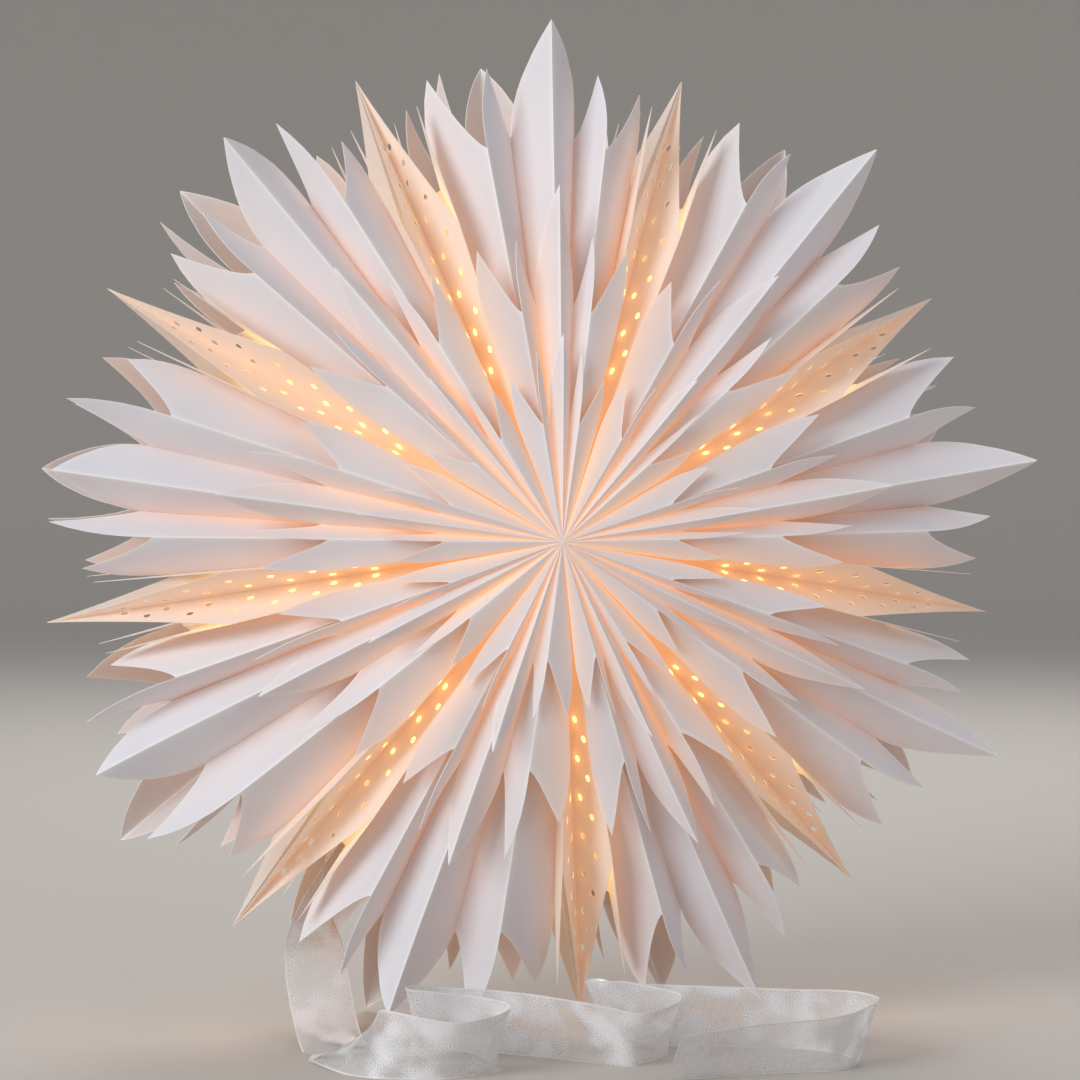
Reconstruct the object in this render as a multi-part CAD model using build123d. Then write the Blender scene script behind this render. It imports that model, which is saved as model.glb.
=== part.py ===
from build123d import *
import math
import os

os.makedirs("parts", exist_ok=True)

# A nine-pointed star lantern of folded and die-cut paper, facing -Y, in millimetres.
# Its middle is the origin. Every crease is a straight ray that starts at a hub on the star's axis
# and runs outwards, so each panel between two creases is a flat piece of paper.

# Paper
PAPER = 0.3                  # thickness of every sheet
GLUE_GAP = 0.05              # glue line between two sheets
FLAP_WIDTH = 8.0             # glue flap along each end of a large fan

# Star points: gusseted pockets, open at their outer end
POINT_COUNT = 9
FIRST_POINT_ANGLE = 31.7     # from +X towards +Z
POINT_DRIFT = [-1.5, -0.4, -0.5, -2.0, -2.2, 0.3, 4.5, 2.0, -1.0]
POINT_HALF_WIDTH = 4.5       # degrees from the groove's fold to a flank wall
POINT_R = 290.0              # tip of the groove's fold
HUB_DEPTH = 98.0             # from the middle plane to the hub of the points
TIP_GAP = 1.5                # half the gap between the front and back folds at the tip
EDGE_SLOPE = 0.14            # fall of a front edge towards the back, per unit of radius
TAPER_LENGTH = 100.0         # the tip's taper, from the end of a front edge
WALL_TIP_SETBACK = 28.0      # small pointed tip of a flank wall, inside the point's tip
WALL_TIP_DROP = 16.0         # how far that tip lies behind the line of the front edge
WALL_SETBACK = 78.0          # flank wall's outer edge between its two tips
HUB_R = 8.0                  # inner end of the creases
EDGE_R = POINT_R - TAPER_LENGTH
WALL_R = POINT_R - WALL_SETBACK

# Punched holes, in two staggered rows on each front groove face
HOLE_D = 4.2
HOLE_SIDES = 6
HOLE_COUNT = 7
HOLE_SETBACK = 44.0          # outermost hole, inside the point's tip
HOLE_PITCH = 18.0
HOLE_ROWS = [0.30, 0.56]     # share of the way from the fold to the face's edge

# Petal fans: seven creases from wall to wall, valley and mountain in turn
RIDGE_DRIFT = [-2.6, -2.3, -2.6, 0.1, -5.0, -0.7, 3.6, 2.6, -3.0]
OUTER_PLEAT_SHARE = 0.433    # first mountain, as a share of the way from wall to ridge
INNER_PLEAT_SHARE = 0.70     # second valley
SIDE_TIP_SHARE = 0.30        # where a side petal's tip lies, from its crease nearer the wall
TIP_DRIFT = [0.000, -0.030, 0.012, -0.045, 0.006, -0.016, -0.036]   # uneven lengths, shares of a row's reach
PETAL_COUNT = 5

# One row of petals: hub depth, slopes of its mountains and valleys, radius of its ridge tip, setbacks
# of its other tips and notches inside the ridge tip, and the curves of its cut edges as shares of their
# length. A side petal is a claw: its edge towards the wall is full and its edge towards the ridge straight.
PETAL_OVERHANG = 10.0        # how far the large petals reach past the points
LARGE_ROW = dict(hub=95.0, mountain=0.15, valley=0.245, start=9.0, ridge_tip=POINT_R + PETAL_OVERHANG,
                 near_tip=17.0, far_tip=29.0, near_notch=66.0, mid_notch=72.0, wall_notch=90.0,
                 full_curve=0.035, ridge_curve=0.04)
BACK_ROW = dict(LARGE_ROW, full_curve=0, ridge_curve=0)
MIDDLE_ROW = dict(hub=96.0, mountain=0.09, valley=0.175, start=7.0, ridge_tip=200.0,
                  near_tip=19.0, far_tip=30.0, near_notch=66.0, mid_notch=69.0, wall_notch=84.0,
                  full_curve=0, ridge_curve=0)
INNER_ROW = dict(hub=97.0, mountain=0.03, valley=0.125, start=5.0, ridge_tip=124.0,
                 near_tip=16.0, far_tip=25.0, near_notch=54.0, mid_notch=56.0, wall_notch=66.0,
                 full_curve=0, ridge_curve=0)

# Ribbon: one end glued to a flank wall, then down to the ground and along it in loose loops
RIBBON_WIDTH = 38.0
RIBBON_THICKNESS = 0.15
RIBBON_POINT_NUMBER = 6      # the star point that the ribbon is glued to
RIBBON_TAB_LENGTH = 39.0     # its glued end
RIBBON_TAB_SETBACK = 1.0     # from the flank wall's outer edge
GROUND_GAP = 0.4
# Its way down, as places and the directions of its width
RIBBON_DROP = [
    ((-130, -3, -214), (0.5, 0.85, 0.0)),
    ((-131, -9, -246), (1.0, 0.25, 0.0)),
    ((-128, -26, -277), (1.0, 0.0, -0.1)),
]
# Its way along the ground, as places seen from above, each with its rise, and the directions of its width
RIBBON_LOOPS = [
    ((-126, -62, 0), (1.0, 0.0, 0.05)),
    ((-124, -106, 0), (0.8, 0.0, 0.55)),
    ((-108, -146, 0), (0.25, -0.2, 0.92)),
    ((-72, -164, 0), (0.0, -0.45, 0.88)),
    ((-44, -148, 3), (0.15, -0.4, 0.88)),
    ((-60, -124, 7), (0.0, -0.45, 0.88)),
    ((-88, -112, 7), (-0.1, -0.3, 0.92)),
    ((-72, -95, 3), (0.0, -0.2, 0.95)),
    ((-32, -98, 0), (0.0, -0.2, 0.95)),
    ((2, -124, 0), (0.1, -0.4, 0.9)),
    ((32, -148, 0), (0.1, -0.5, 0.85)),
    ((56, -136, 4), (0.15, -0.4, 0.88)),
    ((36, -114, 9), (0.0, -0.45, 0.88)),
    ((20, -98, 5), (-0.1, -0.3, 0.92)),
    ((58, -92, 0), (0.0, -0.2, 0.95)),
    ((108, -106, 0), (0.0, -0.3, 0.95)),
    ((150, -126, 0), (0.1, -0.3, 0.95)),
    ((164, -156, 0), (0.3, -0.1, 0.95)),
    ((138, -184, 0), (0.0, -0.45, 0.88)),
    ((88, -188, 0), (0.0, -0.55, 0.83)),
    ((42, -196, 0), (0.0, -0.65, 0.76)),
]
RIBBON_STEP_COUNT = 4        # sections between two places

# Battery light in the hub: a round puck held between the inner edges of the flank walls
LIGHT_R = 24.0
LIGHT_DEPTH = 26.0
LIGHT_FIT = 0.15
LIGHT_ROOM_DEPTH = 66.0      # half the depth of the room round the light


def ray(angle, slope):
    """A crease's direction: one unit outwards in the star's plane and slope units to the back."""
    turn = math.radians(angle)
    return Vector(math.cos(turn), slope, math.sin(turn))


def cut(start, end, normal, bulge):
    """A cut edge between two points of a panel: an arc that bulges by a share of its length."""
    if bulge == 0:
        return Line(start, end)
    chord = end - start
    side = chord.cross(normal).normalized()
    return ThreePointArc(start, (start + end) * 0.5 + side * chord.length * bulge, end)


def sheet(edges):
    """A flat piece of paper with the given closed outline, its middle in the outline's plane."""
    return extrude(make_face(edges), amount=PAPER / 2, both=True)


def mitre(normals, index):
    """Half the paper's thickness at a crease, mitred between the two panels that meet there."""
    before = normals[max(index - 1, 0)]
    after = normals[min(index, len(normals) - 1)]
    return (before + after) * (PAPER / 2 / (1 + before.dot(after)))


def rim_strip(edge_1, edge_2):
    """The narrow strip between two edges: two flat triangles along a line, ruled along a curve."""
    if edge_1.edge().geom_type != GeomType.LINE:
        return [Face.make_surface_from_curves(edge_1.edge(), edge_2.edge())]
    corners = [edge_1 @ 0, edge_1 @ 1, edge_2 @ 1, edge_2 @ 0]
    halves = [corners[:3], corners[2:] + corners[:1]]
    return [make_face(Polyline(*half, close=True)).face() for half in halves]


def folded(hub_point, creases, start, rims):
    """A folded sheet: flat panels between neighbouring creases, mitred along every crease.

    A rim lists the stops of a panel's outer edge, each as a share of the way between its two creases,
    a radius and the curve of the edge that ends there.
    """
    normals = [a.cross(b).normalized() for a, b in zip(creases, creases[1:])]
    faces = []
    for index, rim in enumerate(rims):
        normal = normals[index]
        sides = []
        for skin in (1, -1):
            near = mitre(normals, index) * skin
            far = mitre(normals, index + 1) * skin
            lift = {0: near, 1: far}
            stops = []
            for share, radius, curve in rim:
                along = creases[index] * (1 - share) + creases[index + 1] * share
                stops.append(hub_point + along * radius + lift.get(share, normal * (PAPER / 2 * skin)))
            inner_1 = hub_point + creases[index] * start + near
            inner_2 = hub_point + creases[index + 1] * start + far
            edges = [Line(inner_1, stops[0])]
            for stop_1, stop_2, (share, radius, curve) in zip(stops, stops[1:], rim[1:]):
                edges.append(cut(stop_1, stop_2, normal, curve))
            edges.append(Line(stops[-1], inner_2))
            edges.append(Line(inner_2, inner_1))
            faces.append(make_face(edges).face())
            sides.append(edges)
        front, back = sides
        for number, (edge_1, edge_2) in enumerate(zip(front, back)):
            joins_before = number == 0 and index > 0
            joins_after = number == len(front) - 2 and index < len(rims) - 1
            if not joins_before and not joins_after:
                faces += rim_strip(edge_1, edge_2)
    return Solid(Shell(faces)).fix()


def tip_drifts(count, ridge_tip):
    """How much longer or shorter each petal of a row is; count is the number of petals before it."""
    numbers = range(count, count + PETAL_COUNT)
    return [TIP_DRIFT[number % len(TIP_DRIFT)] * ridge_tip for number in numbers]


def petal_row(hub_point, wall_1, ridge, wall_2, row, count):
    """One row of petals between two walls, given by their angles and that of the ridge."""
    creases = [
        ray(wall_1, row["valley"]),
        ray(wall_1 + (ridge - wall_1) * OUTER_PLEAT_SHARE, row["mountain"]),
        ray(wall_1 + (ridge - wall_1) * INNER_PLEAT_SHARE, row["valley"]),
        ray(ridge, row["mountain"]),
        ray(wall_2 + (ridge - wall_2) * INNER_PLEAT_SHARE, row["valley"]),
        ray(wall_2 + (ridge - wall_2) * OUTER_PLEAT_SHARE, row["mountain"]),
        ray(wall_2, row["valley"]),
    ]
    ridge_tip = row["ridge_tip"]
    near_tip = ridge_tip - row["near_tip"]
    far_tip = ridge_tip - row["far_tip"]
    near_notch = ridge_tip - row["near_notch"]
    mid_notch = ridge_tip - row["mid_notch"]
    wall_notch = ridge_tip - row["wall_notch"]
    full = row["full_curve"]
    ridge_side = row["ridge_curve"]
    lean = SIDE_TIP_SHARE
    far_1, near_1, ridge_drift, near_2, far_2 = tip_drifts(count, ridge_tip)
    rims = [
        [(0, wall_notch, 0), (lean, far_tip + far_1, full), (1, mid_notch, 0)],
        [(0, mid_notch, 0), (lean, near_tip + near_1, full), (1, near_notch, 0)],
        [(0, near_notch, 0), (1, ridge_tip + ridge_drift, ridge_side)],
        [(0, ridge_tip + ridge_drift, 0), (1, near_notch, ridge_side)],
        [(0, near_notch, 0), (1 - lean, near_tip + near_2, 0), (1, mid_notch, full)],
        [(0, mid_notch, 0), (1 - lean, far_tip + far_2, 0), (1, wall_notch, full)],
    ]
    return folded(hub_point, creases, row["start"], rims)


def fan_hub(wall_1, wall_2, depth):
    """Where a fan's creases start: moved out so that its end creases run beside the two walls."""
    half_angle = math.radians((wall_2 - wall_1) / 2)
    out = (PAPER + GLUE_GAP) / math.sin(half_angle)
    return ray((wall_1 + wall_2) / 2, 0) * out + Vector(0, -depth, 0)


def large_fan(wall_1, ridge, wall_2, row, count):
    """A large pleated fan with its glue flaps, which lie flat on the two walls."""
    hub_point = fan_hub(wall_1, wall_2, row["hub"])
    flaps = []
    back = Vector(0, FLAP_WIDTH, 0)
    for wall in (wall_1, wall_2):
        crease = ray(wall, row["valley"])
        inner = hub_point + crease * (LIGHT_R + FLAP_WIDTH)
        outer = hub_point + crease * (row["ridge_tip"] - row["wall_notch"] - FLAP_WIDTH)
        flaps.append(sheet(Polyline(inner, outer, outer + back, inner + back, close=True)))
    return petal_row(hub_point, wall_1, ridge, wall_2, row, count).fuse(*flaps)


def small_fan(wall_1, ridge, wall_2, count):
    """A middle and an inner row of petals in one sheet, joined by flaps on the two walls."""
    middle_hub = fan_hub(wall_1, wall_2, MIDDLE_ROW["hub"])
    inner_hub = fan_hub(wall_1, wall_2, INNER_ROW["hub"])
    middle_row = petal_row(middle_hub, wall_1, ridge, wall_2, MIDDLE_ROW, count)
    inner_row = petal_row(inner_hub, wall_1, ridge, wall_2, INNER_ROW, count + 1)
    flaps = []
    for wall in (wall_1, wall_2):
        back_crease = ray(wall, MIDDLE_ROW["valley"])
        front_crease = ray(wall, INNER_ROW["valley"])
        inner_r = INNER_ROW["start"] + FLAP_WIDTH
        outer_r = INNER_ROW["ridge_tip"] - INNER_ROW["wall_notch"] - FLAP_WIDTH
        flaps.append(sheet(Polyline(
            inner_hub + front_crease * inner_r,
            inner_hub + front_crease * outer_r,
            middle_hub + back_crease * outer_r,
            middle_hub + back_crease * inner_r,
            close=True,
        )))
    return middle_row.fuse(inner_row, *flaps)


def groove_face(hub_point, fold, edge, with_holes):
    """One face of a point's groove, from its fold to the front edge, with its punched holes."""
    normal = fold.cross(edge).normalized()
    tip = hub_point + fold * POINT_R
    edge_end = hub_point + edge * EDGE_R
    face = sheet([
        Line(hub_point + fold * HUB_R, tip),
        Line(tip, edge_end),
        Line(edge_end, hub_point + edge * HUB_R),
        Line(hub_point + edge * HUB_R, hub_point + fold * HUB_R),
    ])
    if not with_holes:
        return face
    holes = []
    for index in range(HOLE_COUNT):
        radius = POINT_R - HOLE_SETBACK - HOLE_PITCH * index
        taper = min(1.0, (POINT_R - radius) / (POINT_R - EDGE_R))
        share = HOLE_ROWS[index % 2] * taper
        centre = hub_point + (fold * (1 - share) + edge * share) * radius
        outline = Plane(centre, x_dir=fold.normalized(), z_dir=normal)
        hole = outline * RegularPolygon(HOLE_D / 2, HOLE_SIDES)
        holes.append(extrude(hole, amount=PAPER, both=True))
    return face.cut(*holes)


def flank_wall(angle):
    """A point's flank wall: a flat panel through the star's axis, with a tip at front and back."""
    out = ray(angle, 0)

    def at(radius, depth):
        return out * radius + Vector(0, depth, 0)

    front = -HUB_DEPTH
    wall_tip_r = POINT_R - WALL_TIP_SETBACK
    notch_depth = LARGE_ROW["hub"] - LARGE_ROW["valley"] * WALL_R
    half = [
        at(HUB_R, front + EDGE_SLOPE * HUB_R),
        at(EDGE_R, front + EDGE_SLOPE * EDGE_R),
        at(wall_tip_r, front + EDGE_SLOPE * wall_tip_r + WALL_TIP_DROP),
        at(WALL_R, -notch_depth),
    ]
    room = [at(LIGHT_R + LIGHT_FIT, -LIGHT_ROOM_DEPTH), at(HUB_R, front + EDGE_SLOPE * HUB_R)]
    mirrored = [Vector(p.X, -p.Y, p.Z) for p in half]
    inner = Vector(room[0].X, -room[0].Y, room[0].Z)
    return sheet(Polyline(*half, *reversed(mirrored), inner, room[0], close=True))


def star_point(angle):
    """A point: two flank walls and the folded grooves between their front and back edges."""
    sides = (angle - POINT_HALF_WIDTH, angle + POINT_HALF_WIDTH)
    fold_slope = (HUB_DEPTH - TIP_GAP) / POINT_R
    pieces = [flank_wall(side) for side in sides]
    for side in sides:
        front = Vector(0, -HUB_DEPTH, 0)
        pieces.append(groove_face(front, ray(angle, fold_slope), ray(side, EDGE_SLOPE), True))
        back = Vector(0, HUB_DEPTH, 0)
        pieces.append(groove_face(back, ray(angle, -fold_slope), ray(side, -EDGE_SLOPE), False))
    return pieces[0].fuse(*pieces[1:])


def light_puck():
    """The battery light, its round face towards the front."""
    return Rot(90, 0, 0) * Cylinder(LIGHT_R, LIGHT_DEPTH)


def slopes(values):
    """How fast a smooth curve passes each of its vectors; its first stretch stays straight."""
    inner = [(after - before) * 0.5 for before, after in zip(values[1:], values[3:])]
    return [values[1] - values[0]] * 2 + inner + [values[-1] - values[-2]]


def smooth(values, speeds, step):
    """A place on the smooth curve through a list of vectors; step counts whole list entries."""
    index = min(int(step), len(values) - 2)
    part = step - index
    rise = part * part * (3 - 2 * part)
    leave = part * (1 - part) ** 2
    arrive = part ** 2 * (1 - part)
    return (values[index] + (values[index + 1] - values[index]) * rise
            + speeds[index] * leave - speeds[index + 1] * arrive)


def ribbon(angle, ground):
    """The ribbon: thin cross-sections along its route, joined by flat triangles."""
    wall = angle + POINT_HALF_WIDTH
    lift = (PAPER + RIBBON_THICKNESS) / 2 + GLUE_GAP
    beside = ray(wall, 0).cross(Vector(0, 1, 0)) * lift
    tab_end = WALL_R - RIBBON_TAB_SETBACK
    places = [ray(wall, 0) * radius + beside for radius in (tab_end - RIBBON_TAB_LENGTH, tab_end)]
    widths = [Vector(0, 1, 0)] * 2
    for place, width in RIBBON_DROP:
        places.append(Vector(*place))
        widths.append(Vector(*width).normalized())
    for place, width in RIBBON_LOOPS:
        across = Vector(*width).normalized()
        x, y, rise = place
        height = ground + GROUND_GAP + rise + RIBBON_WIDTH / 2 * abs(across.Z)
        places.append(Vector(x, y, height))
        widths.append(across)

    speeds = slopes(places)
    turns = slopes(widths)
    sections = []
    last = (len(places) - 1) * RIBBON_STEP_COUNT
    nearby = 0.02
    for count in range(last + 1):
        step = count / RIBBON_STEP_COUNT
        middle = smooth(places, speeds, step)
        ahead = smooth(places, speeds, min(step + nearby, last / RIBBON_STEP_COUNT))
        behind = smooth(places, speeds, max(step - nearby, 0))
        along = (ahead - behind).normalized()
        across = smooth(widths, turns, step)
        across = (across - along * across.dot(along)).normalized()
        side = across * (RIBBON_WIDTH / 2)
        skin = along.cross(across) * (RIBBON_THICKNESS / 2)
        back_skin = [middle - side - skin, middle + side - skin]
        front_skin = [middle + side + skin, middle - side + skin]
        sections.append(back_skin + front_skin)

    faces = [make_face(Polyline(*end, close=True)).face() for end in (sections[0], sections[-1])]
    for before, after in zip(sections, sections[1:]):
        for first, second in ((0, 1), (1, 2), (3, 2), (0, 3)):
            faces += rim_strip(Line(before[first], before[second]), Line(after[first], after[second]))
    return Solid(Shell(faces)).fix()


def save(name, shape):
    """Write one piece to its own file."""
    shape.label = name
    export_step(shape, f"parts/{name}.step")


point_step = 360.0 / POINT_COUNT
point_angles = []
for number in range(POINT_COUNT + 1):
    turns, index = divmod(number, POINT_COUNT)
    drift = POINT_DRIFT[index % len(POINT_DRIFT)]
    point_angles.append(FIRST_POINT_ANGLE + point_step * index + drift + 360.0 * turns)

ground = 0.0
for index in range(POINT_COUNT):
    number = index + 1
    point = star_point(point_angles[index])
    ground = min(ground, point.bounding_box().min.Z)
    save(f"star_point_{number}", point)

    wall_1 = point_angles[index] + POINT_HALF_WIDTH
    wall_2 = point_angles[index + 1] - POINT_HALF_WIDTH
    middle = FIRST_POINT_ANGLE + point_step * (index + 0.5)
    lean = RIDGE_DRIFT[index % len(RIDGE_DRIFT)]
    petals_before = PETAL_COUNT * index
    front_fan = large_fan(wall_1, middle + lean, wall_2, LARGE_ROW, petals_before)
    back_fan = mirror(large_fan(wall_1, middle - lean, wall_2, BACK_ROW, petals_before + 3), Plane.XZ)
    ground = min(ground, front_fan.bounding_box().min.Z, back_fan.bounding_box().min.Z)
    save(f"front_petals_{number}", front_fan)
    save(f"back_petals_{number}", back_fan)
    front_small = small_fan(wall_1, middle + lean, wall_2, petals_before + 2)
    back_small = mirror(small_fan(wall_1, middle - lean, wall_2, petals_before + 4), Plane.XZ)
    save(f"front_small_petals_{number}", front_small)
    save(f"back_small_petals_{number}", back_small)

save("light_puck", light_puck())
save("ribbon", ribbon(point_angles[RIBBON_POINT_NUMBER - 1], ground))
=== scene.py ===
# %% [markdown]
# # A lit paper star with a sheer ribbon
# The star is folded from white paper: nine narrow perforated points, and between them pleated fans of
# petals in three sizes, at the front and at the back. A small battery light shines inside. This lesson
# rebuilds every sheet as a surface on a grid, gives the paper its folds, curl and glow, and lays a sheer
# ribbon in front. Everything is in metres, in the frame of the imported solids.

# %% Load the fixed frame and keep its box
import math

import bpy
import numpy as np
from mathutils.geometry import delaunay_2d_cdt
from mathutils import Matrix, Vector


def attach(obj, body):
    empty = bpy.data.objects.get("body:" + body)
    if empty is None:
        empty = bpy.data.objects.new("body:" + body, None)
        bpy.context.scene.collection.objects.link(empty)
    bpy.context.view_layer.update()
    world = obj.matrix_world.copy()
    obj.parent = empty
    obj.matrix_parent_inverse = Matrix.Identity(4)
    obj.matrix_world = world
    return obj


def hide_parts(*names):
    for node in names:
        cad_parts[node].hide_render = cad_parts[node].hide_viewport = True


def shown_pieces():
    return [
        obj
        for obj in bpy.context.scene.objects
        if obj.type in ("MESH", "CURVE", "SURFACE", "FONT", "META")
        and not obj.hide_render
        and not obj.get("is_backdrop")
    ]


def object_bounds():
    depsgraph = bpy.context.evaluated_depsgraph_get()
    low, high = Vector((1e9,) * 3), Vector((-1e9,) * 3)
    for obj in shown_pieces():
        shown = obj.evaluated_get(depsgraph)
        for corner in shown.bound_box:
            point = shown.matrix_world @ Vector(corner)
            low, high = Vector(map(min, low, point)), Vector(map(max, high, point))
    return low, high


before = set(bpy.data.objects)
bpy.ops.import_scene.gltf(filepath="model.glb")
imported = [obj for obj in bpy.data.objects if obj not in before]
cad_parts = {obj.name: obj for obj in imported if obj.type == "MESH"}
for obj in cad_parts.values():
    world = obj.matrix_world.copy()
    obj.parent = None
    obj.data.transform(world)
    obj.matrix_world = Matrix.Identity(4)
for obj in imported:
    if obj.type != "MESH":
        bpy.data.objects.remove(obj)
cad_low, cad_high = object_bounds()
print("solids in the frame:", len(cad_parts))
print("box of the solids:", [round(x, 3) for x in cad_low], [round(x, 3) for x in cad_high])

# %% [markdown]
# ## The star's plan
# Every crease is a ray that leaves a hub on the star's axis, so a whole sheet is known by the angles of
# its creases, their slopes towards the back and the radii of its cuts. The angles carry the small
# unevenness of a star that was unfolded by hand. They repeat the sizes of the solids.

# %% Angles of the points and of the fans' ridges
POINTS = 9
POINT_HALF_WIDTH = 4.5
FIRST_POINT = 31.7
POINT_DRIFT = np.array([-1.5, -0.4, -0.5, -2.0, -2.2, 0.3, 4.5, 2.0, -1.0])
RIDGE_DRIFT = np.array([-2.6, -2.3, -2.6, 0.1, -5.0, -0.7, 3.6, 2.6, -3.0])

point_angles = FIRST_POINT + 40.0 * np.arange(POINTS) + POINT_DRIFT
next_angles = np.append(point_angles[1:], point_angles[0] + 360.0)
wall_1 = point_angles + POINT_HALF_WIDTH
wall_2 = next_angles - POINT_HALF_WIDTH
sector_middle = FIRST_POINT + 40.0 * (np.arange(POINTS) + 0.5)
print("points at", np.round(point_angles, 1))


# %% Rays
def ray(angle, slope):
    """A crease's direction: one unit outwards in the star's plane and slope units to the back."""
    turn = np.radians(angle)
    return np.array([np.cos(turn), slope, np.sin(turn)])


def unit(vectors):
    """Vectors divided by their own length."""
    return vectors / np.maximum(np.linalg.norm(vectors, axis=-1, keepdims=True), 1e-12)


# %% [markdown]
# ## From a grid to a sheet of paper
# A sheet is worked out as a grid of points in the middle of the paper. Half the paper's thickness to
# each side, along the grid's own normals, gives two skins, and a narrow rim closes them. Blender could
# add the thickness with a modifier, but here the two skins get different materials: the side that faces
# the light is much warmer.

# %% Skins, rim and mesh
PAPER = 0.0003


def grid_normals(grid):
    """Unit normals of a grid: the cross product of its steps along the rows and across the columns."""
    return unit(np.cross(np.gradient(grid, axis=0), np.gradient(grid, axis=1)))


def grid_faces(rows, columns, first=0):
    """The quads of a grid of points that are numbered row by row."""
    index = np.arange(rows * columns).reshape(rows, columns) + first
    corners = [index[:-1, :-1], index[1:, :-1], index[1:, 1:], index[:-1, 1:]]
    return np.stack(corners, axis=-1).reshape(-1, 4)


def paper_sheet(grid, facts, thickness=PAPER):
    """A grid thickened to paper: points, faces, each face's skin (0 front, 1 back) and point facts."""
    rows, columns = grid.shape[:2]
    count = rows * columns
    lift = grid_normals(grid) * (thickness / 2)
    points = np.concatenate([(grid + lift).reshape(-1, 3), (grid - lift).reshape(-1, 3)])
    front = grid_faces(rows, columns)
    back = grid_faces(rows, columns, count)[:, ::-1]
    index = np.arange(count).reshape(rows, columns)
    loop = np.concatenate([index[0, :-1], index[:-1, -1], index[-1, :0:-1], index[:0:-1, 0]])
    after = np.roll(loop, -1)
    rim = np.stack([loop, after, after + count, loop + count], axis=-1)
    skins = np.repeat([0, 1, 0], [len(front), len(back), len(rim)])
    doubled = {name: np.tile(value.reshape(-1), 2) for name, value in facts.items()}
    return points, [front, back, rim], skins, doubled


def make_piece(name, parts, materials, sharp=22):
    """One mesh object from several parts, with its facts as attributes and its folds kept sharp."""
    points, faces, skins, base = [], [], [], 0
    facts = {key: [] for key in parts[0][3]}
    for part_points, part_faces, part_skins, part_facts in parts:
        points.append(part_points)
        for group in part_faces:
            faces += (group + base).tolist()
        skins.append(part_skins)
        for key in facts:
            facts[key].append(part_facts[key])
        base += len(part_points)
    mesh = bpy.data.meshes.new(name)
    mesh.from_pydata(np.concatenate(points), [], faces)
    mesh.polygons.foreach_set("material_index", np.concatenate(skins).astype(np.int32))
    for key, values in facts.items():
        mesh.attributes.new(key, "FLOAT", "POINT").data.foreach_set("value", np.concatenate(values))
    mesh.shade_smooth()
    mesh.set_sharp_from_angle(angle=math.radians(sharp))
    for material in materials:
        mesh.materials.append(material)
    piece = bpy.data.objects.new(name, mesh)
    bpy.context.scene.collection.objects.link(piece)
    return piece


# %% [markdown]
# ## Paper that glows
# The paper is matt and cool white. Near the hub it lets the lamp's light through, so it turns peach and
# then orange, most of all down in the valleys. That glow is painted light: emission in the material and a
# warmer base colour, steered by an attribute of each sheet, so that it is there under any light. A soft
# mottling is the paper's own tone; the pale lines along mountain creases and cut edges are a painted
# highlight.

# %% A small kit for node materials
def new_material(name):
    """An empty node material with its output node."""
    material = bpy.data.materials.new(name)
    material.use_nodes = True
    material.node_tree.nodes.clear()
    output = material.node_tree.nodes.new("ShaderNodeOutputMaterial")
    return material, material.node_tree, output


def node(tree, kind, **settings):
    """A new node; plain settings are properties, and those in inputs are sockets."""
    made = tree.nodes.new(kind)
    for key, value in settings.pop("inputs", {}).items():
        made.inputs[key].default_value = value
    for key, value in settings.items():
        setattr(made, key, value)
    return made


def ramp(tree, stops, fac):
    """A colour ramp with the given (position, colour) stops, fed by a socket."""
    made = node(tree, "ShaderNodeValToRGB")
    elements = made.color_ramp.elements
    while len(elements) < len(stops):
        elements.new(0.5)
    for element, (position, colour) in zip(elements, stops):
        element.position = position
        element.color = (*colour, 1.0)
    tree.links.new(fac, made.inputs["Fac"])
    return made


# %% The paper's recipe
def paper(name, cool, warm, glow_stops):
    """Matt paper: a base colour and an emission that both follow the sheet's glow attribute, which is painted
    lamp light, lightened by a painted highlight where its crease attribute is high.
    """
    material, tree, output = new_material(name)
    link = tree.links.new
    shader = node(tree, "ShaderNodeBsdfPrincipled", inputs={
        "Roughness": 0.62, "Specular IOR Level": 0.3, "Emission Strength": 1.0})
    place = node(tree, "ShaderNodeTexCoord")
    glow = node(tree, "ShaderNodeAttribute", attribute_name="glow")
    crease = node(tree, "ShaderNodeAttribute", attribute_name="crease")

    mottle = node(tree, "ShaderNodeTexNoise", inputs={"Scale": 26.0, "Detail": 1.0})
    link(place.outputs["Object"], mottle.inputs["Vector"])
    between = [(a + b) / 2 for a, b in zip(cool, warm)]
    base = ramp(tree, [(0.0, cool), (0.45, between), (1.0, warm)], glow.outputs["Fac"])
    shade = ramp(tree, [(0.3, (0.965, 0.965, 0.97)), (0.7, (1.0, 1.0, 1.0))], mottle.outputs["Fac"])
    tint = node(tree, "ShaderNodeMix", data_type="RGBA", blend_type="MULTIPLY", inputs={0: 1.0})
    link(base.outputs["Color"], tint.inputs[6])
    link(shade.outputs["Color"], tint.inputs[7])
    # painted highlight: the crease attribute mixes the paper to near white along mountain creases and cut
    # edges
    white = node(tree, "ShaderNodeMix", data_type="RGBA", inputs={7: (1.0, 0.995, 0.985, 1.0)})
    link(crease.outputs["Fac"], white.inputs[0])
    link(tint.outputs[2], white.inputs[6])
    link(white.outputs[2], shader.inputs["Base Color"])

    light = ramp(tree, glow_stops, glow.outputs["Fac"])
    link(light.outputs["Color"], shader.inputs["Emission Color"])
    link(shader.outputs["BSDF"], output.inputs["Surface"])
    material.cycles.emission_sampling = "NONE"
    return material
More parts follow.
